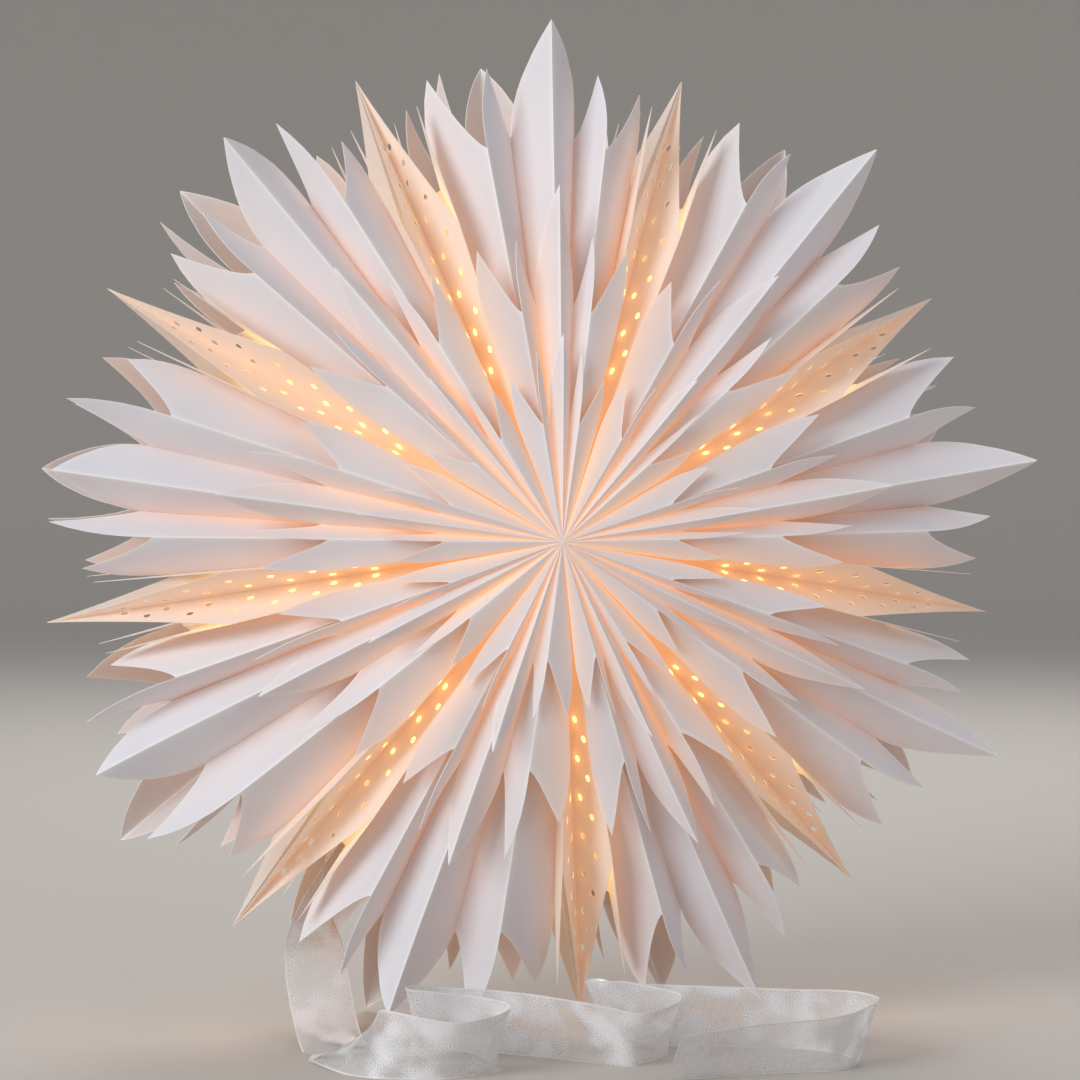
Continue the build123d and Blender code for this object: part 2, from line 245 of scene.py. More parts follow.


# %% The star's papers
# in all four papers the warm end of the base colour and the whole emission are painted lamp light through the
# paper
COOL_WHITE = (0.825, 0.83, 0.885)
PEACH = (0.93, 0.71, 0.58)
petal_paper = paper("petal_paper", COOL_WHITE, PEACH, [
    (0.0, (0.0, 0.0, 0.0)), (0.25, (0.065, 0.024, 0.008)),
    (0.6, (0.19, 0.074, 0.022)), (1.0, (0.38, 0.16, 0.045))])
# the lining's cool end is greyer and darker than the outer skin: painted shade inside the star
lit_lining = paper("lit_lining", (0.74, 0.71, 0.72), (0.95, 0.76, 0.60), [
    (0.0, (0.0, 0.0, 0.0)), (0.4, (0.08, 0.034, 0.012)), (1.0, (0.42, 0.19, 0.065))])
# the points' paper is warm even at its cool end and always emits a little: painted lamp light
point_paper = paper("point_paper", (0.87, 0.79, 0.74), (0.91, 0.74, 0.60), [
    (0.0, (0.09, 0.056, 0.034)), (0.3, (0.15, 0.080, 0.040)),
    (0.6, (0.19, 0.092, 0.038)), (1.0, (0.30, 0.14, 0.045))])
point_lining = paper("point_lining", (0.88, 0.82, 0.77), (1.0, 0.86, 0.62), [
    (0.0, (0.02, 0.01, 0.004)), (0.35, (0.14, 0.08, 0.035)), (1.0, (0.78, 0.53, 0.25))])
print("papers:", [m.name for m in (petal_paper, lit_lining, point_paper, point_lining)])

# %% [markdown]
# ## Rows of petals
# A fan is one sheet with seven creases: a valley at each wall, then mountain, valley and the ridge in the
# middle, mirrored. Between two creases the paper is flat, and its outer end is cut to a blade. A power
# curve with an exponent under one gives a cut its belly. Real paper doesn't stay flat, so each panel bows
# a little between its creases and each blade's free end curls.

# %% Sizes of the three rows
# Depth of the hub, slopes of the mountains, valleys and wall creases, radii of the row's start and of its
# ridge tip, and setbacks of the other tips and of the notches inside the ridge tip. Bow, curl, sweep, rise
# and lean are the paper's bends; spread, in degrees, carries a small row out over the points.
LARGE_ROW = dict(hub=0.095, mountain=0.15, valley=0.245, start=0.009, ridge_tip=0.300, near_tip=0.017,
                 far_tip=0.029, near_notch=0.066, mid_notch=0.072, wall_notch=0.090, bow=0.0034, curl=0.010,
                 lean=0.0, rise=0.0, sweep=0.006, spread=0.0, wall=0.245)
MIDDLE_ROW = dict(hub=0.0990, mountain=0.09, valley=0.175, start=0.007, ridge_tip=0.200, near_tip=0.019,
                  far_tip=0.030, near_notch=0.066, mid_notch=0.069, wall_notch=0.084, bow=0.0018, curl=0.006,
                  lean=0.007, rise=0.008, sweep=0.004, spread=2.0, wall=0.125)
INNER_ROW = dict(hub=0.1000, mountain=0.03, valley=0.125, start=0.0004, ridge_tip=0.124, near_tip=0.016,
                 far_tip=0.025, near_notch=0.054, mid_notch=0.056, wall_notch=0.066, bow=0.0010, curl=0.003,
                 lean=0.003, rise=0.003, sweep=0.002, spread=3.9, wall=0.095)
TIP_DRIFT = np.array([0.000, -0.030, 0.012, -0.045, 0.006, -0.016, -0.036])
OUTER_PLEAT = 0.433          # first mountain, as a share of the way from wall to ridge
INNER_PLEAT = 0.70           # second valley
SIDE_TIP = 0.30              # a side petal's tip, from its crease nearer the wall
FULL = 0.42                  # exponents of a full cut edge, a hollow one and one beside the ridge
HOLLOW = 1.45
RIDGE_SIDE = 0.66
PETALS = 5
PANEL_PETAL = np.array([0, 1, 2, 2, 3, 4])
GLUE_GAP = 0.00005

# places across one side of a blade, close together beside its crease
SIDE_PLACES = np.array([0.0, 0.05, 0.16, 0.32, 0.52, 0.76])
FULL_PLACES = np.array([0.0, 0.012, 0.06, 0.16, 0.34, 0.62])
print("rows reach", [row["ridge_tip"] for row in (LARGE_ROW, MIDDLE_ROW, INNER_ROW)], "m")


# %% Hub of a fan and cut edge of a blade
def fan_hub(start_wall, end_wall, depth):
    """Where a fan's creases start: moved out so that its end creases run beside the two walls."""
    half_angle = math.radians((end_wall - start_wall) / 2)
    out = (PAPER + GLUE_GAP) / math.sin(half_angle)
    return ray((start_wall + end_wall) / 2, 0) * out + np.array([0, -depth, 0])


def blade_samples(tip_share):
    """Shares between two creases at which a panel is sampled, with its tip among them."""
    if tip_share in (0, 1):
        return np.concatenate([SIDE_PLACES / 2, 1 - (SIDE_PLACES / 2)[:0:-1]])
    first, second = (FULL_PLACES, SIDE_PLACES) if tip_share < 0.5 else (SIDE_PLACES, FULL_PLACES)
    return np.concatenate([first * tip_share, [tip_share], 1 - (second * (1 - tip_share))[:0:-1]])


def blade_rim(share, tip_share, notch_1, tip, notch_2, belly_1, belly_2):
    """Radius of a cut: from one notch up to the tip and down to the next, each a power of the share."""
    with np.errstate(divide="ignore", invalid="ignore"):
        rise = np.where(tip_share > 0, share / max(tip_share, 1e-9), 1.0)
        fall = np.where(tip_share < 1, (1 - share) / max(1 - tip_share, 1e-9), 1.0)
    up = notch_1 + (tip - notch_1) * np.clip(rise, 0, 1) ** belly_1
    down = notch_2 + (tip - notch_2) * np.clip(fall, 0, 1) ** belly_2
    return np.where(share <= tip_share, up, down) if 0 < tip_share < 1 else (up if tip_share == 1 else down)


# %% Creases, panels and columns of a row
def row_creases(start_wall, ridge, end_wall, row):
    """A row's seven crease rays: mountains and valleys in turn between its two wall creases."""
    angles = [start_wall - row["spread"], start_wall + (ridge - start_wall) * OUTER_PLEAT,
              start_wall + (ridge - start_wall) * INNER_PLEAT, ridge,
              end_wall + (ridge - end_wall) * INNER_PLEAT, end_wall + (ridge - end_wall) * OUTER_PLEAT,
              end_wall + row["spread"]]
    slopes = [row["wall"]] + [row["mountain"], row["valley"]] * 2 + [row["mountain"], row["wall"]]
    return np.array([ray(angle, slope) for angle, slope in zip(angles, slopes)])


def row_panels(row, count):
    """Each panel's cut: its tip's share across, the radii of notch, tip and notch, and two exponents.

    Count is the number of petals before the row in the round of uneven lengths.
    """
    tip = row["ridge_tip"]
    near_tip, far_tip = tip - row["near_tip"], tip - row["far_tip"]
    near_notch, mid_notch = tip - row["near_notch"], tip - row["mid_notch"]
    wall_notch = tip - row["wall_notch"]
    far_1, near_1, middle, near_2, far_2 = tip * TIP_DRIFT[(count + np.arange(PETALS)) % len(TIP_DRIFT)]
    return [
        (SIDE_TIP, wall_notch, far_tip + far_1, mid_notch, FULL, HOLLOW),
        (SIDE_TIP, mid_notch, near_tip + near_1, near_notch, FULL, HOLLOW),
        (1, near_notch, tip + middle, tip + middle, RIDGE_SIDE, RIDGE_SIDE),
        (0, tip + middle, tip + middle, near_notch, RIDGE_SIDE, RIDGE_SIDE),
        (1 - SIDE_TIP, near_notch, near_tip + near_2, mid_notch, HOLLOW, FULL),
        (1 - SIDE_TIP, mid_notch, far_tip + far_2, wall_notch, HOLLOW, FULL),
    ]


def row_columns(creases, panels, row, chance):
    """The row's columns: the share across a panel, ray, radius of the cut, bow and panel of each."""
    shares, rays, cuts, bows, owners = [], [], [], [], []
    for index, (tip_share, notch_1, top, notch_2, belly_1, belly_2) in enumerate(panels):
        share = blade_samples(tip_share)
        if index == len(panels) - 1:
            share = np.append(share, 1.0)
        shares.append(share)
        rays.append(creases[index] * (1 - share[:, None]) + creases[index + 1] * share[:, None])
        cuts.append(blade_rim(share, tip_share, notch_1, top, notch_2, belly_1, belly_2))
        bows.append(4 * share * (1 - share) * chance.uniform(-0.5, 1.0) * row["bow"])
        owners.append(np.full(len(share), index))
    return [np.concatenate(values) for values in (shares, rays, cuts, bows, owners)]


# %% Bends of the paper
RIPPLE = 0.0006
RIPPLE_PITCH = 55            # radians per metre of radius


def bent_row(grid, rays, share, radius, bow, petal, row, chance):
    """A row of flat panels, bent as paper is.

    Bow is a parabola between the creases along the sheet's normals that grows with the radius, with a
    slight ripple. Curl brings a blade forward by the square of the distance past the notch, and twist
    turns it by the same square times the place across the blade. Sweep bends the blades sideways towards
    the ridge, like claws. The two outermost blades of a small row also rise and lean over the points.
    """
    tip = row["ridge_tip"]
    near_notch = tip - row["near_notch"]
    free = np.clip((radius - near_notch) / (tip - near_notch), 0, 1)
    curl = chance.uniform(-0.4, 1.0, PETALS)[petal] * row["curl"]
    twist = chance.uniform(-1.0, 1.0, PETALS)[petal] * row["curl"] * (share - 0.5)
    forward = (curl + np.where(petal == 2, 0, twist)) * free ** 2
    outermost = np.array([-1, 0, 0, 0, 1])[petal] * chance.uniform(0.35, 1.0, PETALS)[petal]
    forward = forward + row["rise"] * np.abs(outermost) * free
    sweep = np.array([1, 1, 0.3, -1, -1])[petal] * chance.uniform(0.2, 1.0, PETALS)[petal]
    sideways = row["lean"] * outermost + row["sweep"] * sweep
    aside = np.cross(unit(rays), np.array([0, 1, 0])) * sideways[:, None]
    wave = np.sin(radius * RIPPLE_PITCH + chance.uniform(0, 6))
    ripple = RIPPLE * wave * 4 * share * (1 - share) * (radius / tip)
    bowed = bow * (radius / tip) ** 1.5 + ripple
    grid = grid + grid_normals(grid) * bowed[..., None] + aside * free[..., None] ** 2
    return grid - np.array([0, 1, 0]) * forward[..., None]


# %% One row as a grid
FOLD_WIDTH = 0.0007          # width of the painted highlight along a mountain crease
CUT_WIDTH = 0.0008           # width of the painted highlight along a cut edge


def petal_row(hub, start_wall, ridge, end_wall, row, count, seed, rows):
    """A row of petals on a grid, with each point's radius, depth in the pleat, painted crease highlight and
    gain of the painted lamp glow.

    Across, a column lies on a ray between two creases; along, a point is at a share of the way from the
    row's start to its cut. The depth goes from a mountain (0) to a valley (1).
    """
    chance = np.random.default_rng(seed)
    creases, panels = row_creases(start_wall, ridge, end_wall, row), row_panels(row, count)
    # each panel's painted lamp glow gets its own random gain
    lamp_glow_gains = chance.uniform(0.55, 1.45, len(panels))
    share, rays, cut, bow, panel = row_columns(creases, panels, row, chance)
    along = np.append(np.linspace(0, 0.994, rows), 1.0)[:, None] ** 0.9
    radius = row["start"] + (cut - row["start"]) * along
    flat = hub + rays * radius[..., None]
    grid = bent_row(flat, rays, share, radius, bow, PANEL_PETAL[panel], row, chance)

    span = np.linalg.norm(np.diff(creases, axis=0), axis=1)[panel]
    ends_in_valley = panel % 2 == 1
    to_mountain = np.where(ends_in_valley, share, 1 - share) * span * radius
    to_valley = np.where(ends_in_valley, 1 - share, share) * span * radius
    depth = to_mountain / np.maximum(to_mountain + to_valley, 1e-9)
    # painted highlight: near white along mountain creases, weaker towards the hub, and along the cut edges
    fold = np.exp(-to_mountain / FOLD_WIDTH) * np.clip(radius / 0.1, 0.15, 1)
    edge = np.exp(-np.maximum(cut - radius, 0) / CUT_WIDTH)
    pale = np.clip(fold + 0.8 * edge, 0, 1)
    return grid, dict(radius=radius, valley=depth, crease=pale, lamp_glow_gain=lamp_glow_gains[panel])


# %% [markdown]
# ## Where the light reaches
# Seen from outside, the glow falls off with the distance from the lamp, and it is deeper in the valleys,
# where the light bounces between two panels. The farther rows lie behind the nearer ones and stay warm
# under them, so the fall-off of each row has its own length.

# %% Glow of a row
# reach in metres and gain in the valleys
LARGE_GLOW = (0.18, 0.75)
LARGE_FLAP_GLOW = (0.15, 0.5)
MIDDLE_GLOW = (0.18, 0.75)
INNER_GLOW = (0.13, 0.75)
SMALL_FLAP_GLOW = (0.10, 0.5)


def row_glow(facts, reach, valley_gain):
    """An exponential fall with the radius, raised in the valleys and uneven from panel to panel."""
    radius, valley = facts["radius"], facts["valley"]
    fall = np.exp(-(radius / reach) ** 1.4) * facts["lamp_glow_gain"]
    return np.clip(fall * (0.35 + valley_gain * valley ** 1.5), 0, 1)


def sheet_facts(facts, reach, valley_gain):
    """The attributes that a petal sheet carries for its materials."""
    return dict(glow=row_glow(facts, reach, valley_gain), crease=facts["crease"])


# %% Glue flaps and the back of the star
FLAP_WIDTH = 0.008
FLAP_START, FLAP_END = 0.032, 0.202
SMALL_FLAP_START, SMALL_FLAP_END = 0.013, 0.050
SMALL_FLAP_STEP = 0.001      # its front line lies this far before the middle row's hub


def flap(inner, outer, back_inner, back_outer):
    """A narrow glue flap: a small grid between two straight lines."""
    t = np.linspace(0, 1, 12)[:, None]
    front = inner + (outer - inner) * t
    back = back_inner + (back_outer - back_inner) * t
    grid = np.stack([front, (front + back) / 2, back], axis=1)
    radius = np.hypot(grid[..., 0], grid[..., 2])
    facts = dict(radius=radius, valley=np.ones_like(radius), crease=np.zeros_like(radius), lamp_glow_gain=1.0)
    return grid, facts


def mirrored(grid):
    """The same grid at the back of the star, its columns reversed so that its front stays outside."""
    return (grid * np.array([1, -1, 1]))[:, ::-1]


# %% Large fans, front and back
def build_fan(name, node_name, groups, back):
    """One sheet of petal rows and flaps: every grid becomes paper, mirrored for the back of the star."""
    parts = []
    for grid, facts in groups:
        if back:
            grid = mirrored(grid)
            facts = {key: value[:, ::-1] for key, value in facts.items()}
        parts.append(paper_sheet(grid, facts))
    piece = make_piece(name, parts, [petal_paper, lit_lining])
    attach(piece, "root")
    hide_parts(node_name)


def large_fan(index, lean, count, seed):
    """The grids of a large fan: its row of petals and its two glue flaps."""
    a, b = wall_1[index], wall_2[index]
    hub = fan_hub(a, b, LARGE_ROW["hub"])
    grid, facts = petal_row(hub, a, sector_middle[index] + lean, b, LARGE_ROW, count, seed, 34)
    groups = [(grid, sheet_facts(facts, *LARGE_GLOW))]
    back = np.array([0, FLAP_WIDTH, 0])
    for wall in (a, b):
        crease = ray(wall, LARGE_ROW["valley"])
        inner, outer = hub + crease * FLAP_START, hub + crease * FLAP_END
        strip, strip_facts = flap(inner, outer, inner + back, outer + back)
        groups.append((strip, sheet_facts(strip_facts, *LARGE_FLAP_GLOW)))
    return groups


for index in range(POINTS):
    number, before = index + 1, PETALS * index
    front = large_fan(index, RIDGE_DRIFT[index], before, 100 + index)
    back = large_fan(index, -RIDGE_DRIFT[index], before + 3, 200 + index)
    build_fan(f"front_petal_sheet_{number}", f"front_petals_{number}", front, False)
    build_fan(f"back_petal_sheet_{number}", f"back_petals_{number}", back, True)
print("large fans:", 2 * POINTS)


# %% Small fans: a middle and an inner row on one sheet
def small_fan(index, lean, count, seed):
    """The grids of a two-row sheet: both rows of petals and the two flaps that join them."""
    a, b = wall_1[index], wall_2[index]
    ridge = sector_middle[index] + lean
    middle_hub = fan_hub(a, b, MIDDLE_ROW["hub"])
    inner_hub = np.array([0, -INNER_ROW["hub"], 0])
    middle, middle_facts = petal_row(middle_hub, a, ridge, b, MIDDLE_ROW, count, seed, 26)
    inner, inner_facts = petal_row(inner_hub, a, ridge, b, INNER_ROW, count + 1, seed + 50, 22)
    groups = [(middle, sheet_facts(middle_facts, *MIDDLE_GLOW)),
              (inner, sheet_facts(inner_facts, *INNER_GLOW))]
    for wall in (a, b):
        front_crease, back_crease = ray(wall, INNER_ROW["valley"]), ray(wall, MIDDLE_ROW["valley"])
        forward = middle_hub - np.array([0, SMALL_FLAP_STEP, 0])
        strip, strip_facts = flap(
            forward + front_crease * SMALL_FLAP_START, forward + front_crease * SMALL_FLAP_END,
            middle_hub + back_crease * SMALL_FLAP_START, middle_hub + back_crease * SMALL_FLAP_END)
        groups.append((strip, sheet_facts(strip_facts, *SMALL_FLAP_GLOW)))
    return groups


for index in range(POINTS):
    number, before = index + 1, PETALS * index
    front = small_fan(index, RIDGE_DRIFT[index], before + 2, 300 + index)
    back = small_fan(index, -RIDGE_DRIFT[index], before + 4, 400 + index)
    build_fan(f"front_small_sheet_{number}", f"front_small_petals_{number}", front, False)
    build_fan(f"back_small_sheet_{number}", f"back_small_petals_{number}", back, True)
print("small fans:", 2 * POINTS)

# %% [markdown]
# ## The perforated points
# A point is a pocket: two flank walls and a deep groove at the front and at the back. The front groove's
# faces are punched, and the lamp's light comes out of the holes. A grid can't have round holes, so each
# face is filled by a Delaunay triangulation of its outline, its holes and some points in between.

# %% Sizes of a point
POINT_R = 0.290
HUB_DEPTH = 0.098
TIP_GAP = 0.0015
EDGE_SLOPE = 0.14
EDGE_R = 0.190
WALL_TIP_R = 0.262
WALL_TIP_DROP = 0.016
WALL_R = 0.212
POINT_START = 0.008
HOLE_R = 0.0021
HOLE_PITCH = 0.0118
HOLE_COUNT = 13
HOLE_SETBACK = 0.044         # outermost hole, inside the point's tip
HOLE_ROWS = np.array([0.26, 0.58])
HALO_REACH, HALO_GAIN = 0.002, 0.22
FRONT_LIT_TO, BACK_LIT_TO, LIT_FADE = 0.250, 0.205, 0.050
LIGHT_R = 0.024
LIGHT_FIT = 0.00015
LIGHT_ROOM = 0.066           # half the depth of the room round the light
print("holes:", HOLE_COUNT, "on each front face")


def filled(outline, holes, inside):
    """Triangles of a flat outline with round holes: a constrained Delaunay triangulation."""
    loops = [outline] + holes
    flat = np.concatenate(loops + [inside])
    edges, first = [], 0
    for loop in loops:
        index = np.arange(len(loop)) + first
        edges += np.stack([index, np.roll(index, -1)], axis=1).tolist()
        first += len(loop)
    points, _, faces, *_ = delaunay_2d_cdt([tuple(p) for p in flat], edges, [], 0, 1e-7)
    points = np.array([tuple(p) for p in points])
    faces = np.array([f for f in faces if len(f) == 3])
    middle = points[faces].mean(axis=1)
    keep = inside_loop(middle, outline)
    for hole in holes:
        keep &= ~inside_loop(middle, hole)
    return points, faces[keep]


def inside_loop(points, loop):
    """Which points lie inside a closed loop: an odd number of its edges crosses their ray to the right."""
    a, b = loop, np.roll(loop, -1, axis=0)
    x, y = points[:, 0, None], points[:, 1, None]
    spans = (a[:, 1] > y) != (b[:, 1] > y)
    with np.errstate(divide="ignore", invalid="ignore"):
        cross = a[:, 0] + (y - a[:, 1]) * (b[:, 0] - a[:, 0]) / (b[:, 1] - a[:, 1])
    return (np.sum(spans & (x < cross), axis=1) % 2) == 1


# %% One flat panel of a point
def flat_panel(origin, axis_x, axis_y, outside, outline, holes, lit_to):
    """Paper between two skins from a flat outline in the plane of two axes at the origin.

    The skin that looks towards outside is the first one. Round each hole the paper glows a little more.
    """
    low, high = outline.min(axis=0), outline.max(axis=0)
    x, y = np.meshgrid(np.linspace(low[0], high[0], 40), np.linspace(low[1], high[1], 7)[1:-1])
    inside = np.stack([x.ravel(), y.ravel()], axis=1)
    keep = inside_loop(inside, outline)
    for hole in holes:
        keep &= np.linalg.norm(inside - hole.mean(axis=0), axis=1) > HOLE_R * 1.5
    flat, faces = filled(outline, holes, inside[keep])
    normal = unit(np.cross(axis_x, axis_y))
    middle = origin + flat[:, :1] * axis_x + flat[:, 1:] * axis_y
    count = len(middle)
    points = np.concatenate([middle + normal * (PAPER / 2), middle - normal * (PAPER / 2)])
    directed = np.concatenate([faces[:, [0, 1]], faces[:, [1, 2]], faces[:, [2, 0]]])
    _, where, times = np.unique(np.sort(directed, axis=1), axis=0, return_inverse=True, return_counts=True)
    start, end = directed[times[where.ravel()] == 1].T
    rim = np.stack([end, start, start + count, end + count], axis=1)
    halo, hole_rim = np.zeros(count), np.zeros(len(rim), int)
    if holes:
        centres = np.array([hole.mean(axis=0) for hole in holes])
        away = np.linalg.norm(flat[:, None] - centres, axis=2).min(axis=1) - HOLE_R
        halo = np.exp(-np.maximum(away, 0) / HALO_REACH)
        hole_rim = (away[rim[:, 0]] < 0.0001).astype(int)
    glows = [point_glow(middle) + HALO_GAIN * halo, lining_glow(middle, lit_to)]
    skins = [0, 1]
    if normal @ outside < 0:
        glows, skins = glows[::-1], skins[::-1]
    skins = np.concatenate([np.repeat(skins, len(faces)), hole_rim])
    facts = dict(glow=np.concatenate(glows), crease=np.zeros(2 * count))
    return points, [faces, faces[:, ::-1] + count, rim], skins, facts


# %% Groove faces and flank walls
def point_glow(places):
    """Painted lamp glow of a point's paper: strong at the hub, fading with the distance from the star's axis.
    """
    radius = np.hypot(places[:, 0], places[:, 2])
    return np.clip(0.05 + 0.95 * np.exp(-(radius / 0.16) ** 1.6), 0, 1)


def lining_glow(places, lit_to):
    """Brightness inside a point: even along its lit part, then an S-curve down to none at a radius."""
    radius = np.hypot(places[:, 0], places[:, 2])
    fade = np.clip((lit_to - radius) / LIT_FADE, 0, 1)
    return fade * fade * (3 - 2 * fade)


def edge_share(radius):
    """Share of a groove face's full width at a radius: all of it, then a slender taper to the tip."""
    t = np.clip((POINT_R - radius) / (POINT_R - EDGE_R), 0, 1)
    return (EDGE_R * t / np.minimum(radius, POINT_R - (POINT_R - EDGE_R) * t)) ** 1.12


def groove_face(angle, side, back):
    """One face of a groove, from the fold to a flank wall's edge; a front face is punched with two staggered
    rows.
    """
    turn = -1 if back else 1
    hub = np.array([0, -HUB_DEPTH * turn, 0])
    fold = ray(angle, turn * (HUB_DEPTH - TIP_GAP) / POINT_R)
    edge = ray(angle + side * POINT_HALF_WIDTH, turn * EDGE_SLOPE)
    axis_x = unit(fold)
    axis_y = unit(edge - (edge @ axis_x) * axis_x)

    def flat(share, radius):
        """Places on the face: a share of the way from the fold to the edge, at a radius."""
        share, radius = np.broadcast_arrays(np.asarray(share, float), np.asarray(radius, float))
        spot = (fold * (1 - share[..., None]) + edge * share[..., None]) * radius[..., None]
        return np.stack([spot @ axis_x, spot @ axis_y], axis=-1)

    taper_radius = np.linspace(POINT_R, EDGE_R, 14)
    taper = flat(edge_share(taper_radius), taper_radius)
    fold_line = flat(np.zeros(24), np.linspace(POINT_START, POINT_R, 25)[:-1])
    edge_line = flat(np.ones(18), np.linspace(EDGE_R, POINT_START, 19)[1:])
    outline = np.concatenate([fold_line, taper, edge_line])
    holes = []
    if not back:
        radius = POINT_R - HOLE_SETBACK - HOLE_PITCH * np.arange(HOLE_COUNT)
        share = HOLE_ROWS[np.arange(HOLE_COUNT) % 2] * np.minimum(1, edge_share(radius))
        ring = np.linspace(0, 2 * np.pi, 17)[:-1]
        circle = HOLE_R * np.stack([np.cos(ring), np.sin(ring)], axis=1)
        holes = [centre + circle for centre in flat(share, radius)]
    outside = np.array([0, -turn, 0])
    lit_to = BACK_LIT_TO if back else FRONT_LIT_TO
    return flat_panel(hub, axis_x, axis_y, outside, outline, holes, lit_to)


def flank_wall(angle, side):
    """A flank wall: a flat panel through the star's axis with a small tip at front and back."""
    out = ray(angle + side * POINT_HALF_WIDTH, 0)
    front = -HUB_DEPTH
    half = np.array([
        (POINT_START, front + EDGE_SLOPE * POINT_START),
        (EDGE_R, front + EDGE_SLOPE * EDGE_R),
        (WALL_TIP_R, front + EDGE_SLOPE * WALL_TIP_R + WALL_TIP_DROP),
        (WALL_R, -(LARGE_ROW["hub"] - LARGE_ROW["valley"] * WALL_R)),
    ])
    room = np.array([(LIGHT_R + LIGHT_FIT, LIGHT_ROOM), (LIGHT_R + LIGHT_FIT, -LIGHT_ROOM)])
    outline = np.concatenate([half, half[::-1] * np.array([1, -1]), room])
    outside = side * np.cross(out, np.array([0, 1, 0]))
    return flat_panel(np.zeros(3), out, np.array([0.0, 1.0, 0.0]), outside, outline, [], EDGE_R)


# %% Nine points
for index, angle in enumerate(point_angles):
    parts = [flank_wall(angle, side) for side in (-1, 1)]
    parts += [groove_face(angle, side, back) for side in (-1, 1) for back in (False, True)]
    point = make_piece(f"star_point_sheet_{index + 1}", parts, [point_paper, point_lining])
    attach(point, "root")
    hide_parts(f"star_point_{index + 1}")
print("points:", POINTS, "with", 2 * HOLE_COUNT, "holes each")

# %% [markdown]
# ## The light
# The lamp is a round battery puck between the inner edges of the walls. Only its glow is seen through
# the gaps, so the solid stays as it is and gets a frosted, lit plastic.

# %% Frosted light
frosted, tree, output = new_material("frosted_light")
shader = node(tree, "ShaderNodeBsdfPrincipled", inputs={
    "Base Color": (0.97, 0.92, 0.82, 1.0), "Roughness": 0.5, "Emission Strength": 0.4})
place = node(tree, "ShaderNodeTexCoord")
grain = node(tree, "ShaderNodeTexNoise", inputs={"Scale": 120.0, "Detail": 2.0})
tree.links.new(place.outputs["Object"], grain.inputs["Vector"])
lit = ramp(tree, [(0.3, (1.0, 0.62, 0.28)), (0.7, (1.0, 0.72, 0.38))], grain.outputs["Fac"])
tree.links.new(lit.outputs["Color"], shader.inputs["Emission Color"])
tree.links.new(shader.outputs["BSDF"], output.inputs["Surface"])
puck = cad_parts["light_puck"]
puck.data.materials.clear()
puck.data.materials.append(frosted)
print("lit:", puck.name)

# %% [markdown]
# ## The ribbon
# A sheer ribbon is glued to a point's wall, falls to the ground and lies there in loose loops, mostly on
# its edge. It is a strip carried along a path: a smooth curve through a few places, each with the
# direction of the ribbon's width.

# %% Route of the ribbon
RIBBON_WIDTH = 0.038
RIBBON_THICKNESS = 0.00015
RIBBON_POINT = 5             # index of the point that it is glued to
TAB_SETBACKS = (0.040, 0.001)    # both ends of its glued tab, inside the wall's outer edge
GROUND_GAP = 0.0004
ground = cad_low[2]
# places in millimetres and the directions of the ribbon's width; the loops give a rise, not a height
RIBBON_DROP = np.array([
    (-130, -3, -214, 0.5, 0.85, 0.0),
    (-131, -9, -246, 1.0, 0.25, 0.0),
    (-128, -26, -277, 1.0, 0.0, -0.1),
], float)
RIBBON_LOOPS = np.array([
    (-126, -62, 0, 1.0, 0.0, 0.05), (-124, -106, 0, 0.8, 0.0, 0.55), (-108, -146, 0, 0.25, -0.2, 0.92),
    (-72, -164, 0, 0.0, -0.45, 0.88), (-44, -148, 3, 0.15, -0.4, 0.88), (-60, -124, 7, 0.0, -0.45, 0.88),
    (-88, -112, 7, -0.1, -0.3, 0.92), (-72, -95, 3, 0.0, -0.2, 0.95), (-32, -98, 0, 0.0, -0.2, 0.95),
    (2, -124, 0, 0.1, -0.4, 0.9), (32, -148, 0, 0.1, -0.5, 0.85), (56, -136, 4, 0.15, -0.4, 0.88),
    (36, -114, 9, 0.0, -0.45, 0.88), (20, -98, 5, -0.1, -0.3, 0.92), (58, -92, 0, 0.0, -0.2, 0.95),
    (108, -106, 0, 0.0, -0.3, 0.95), (150, -126, 0, 0.1, -0.3, 0.95), (164, -156, 0, 0.3, -0.1, 0.95),
    (138, -184, 0, 0.0, -0.45, 0.88), (88, -188, 0, 0.0, -0.55, 0.83), (42, -196, 0, 0.0, -0.65, 0.76),
], float)


def smooth(values, steps):
    """A smooth curve through places: a cubic between two places that passes each at half the way
    from the place before it to the place after it. Its first stretch stays straight."""
    first = values[1] - values[0]
    speeds = np.concatenate([[first, first], (values[3:] - values[1:-2]) / 2, [values[-1] - values[-2]]])
    index = np.minimum(steps.astype(int), len(values) - 2)
    part = (steps - index)[:, None]
    rise = part * part * (3 - 2 * part)
    move = values[index] + (values[index + 1] - values[index]) * rise
    return move + speeds[index] * part * (1 - part) ** 2 - speeds[index + 1] * part ** 2 * (1 - part)


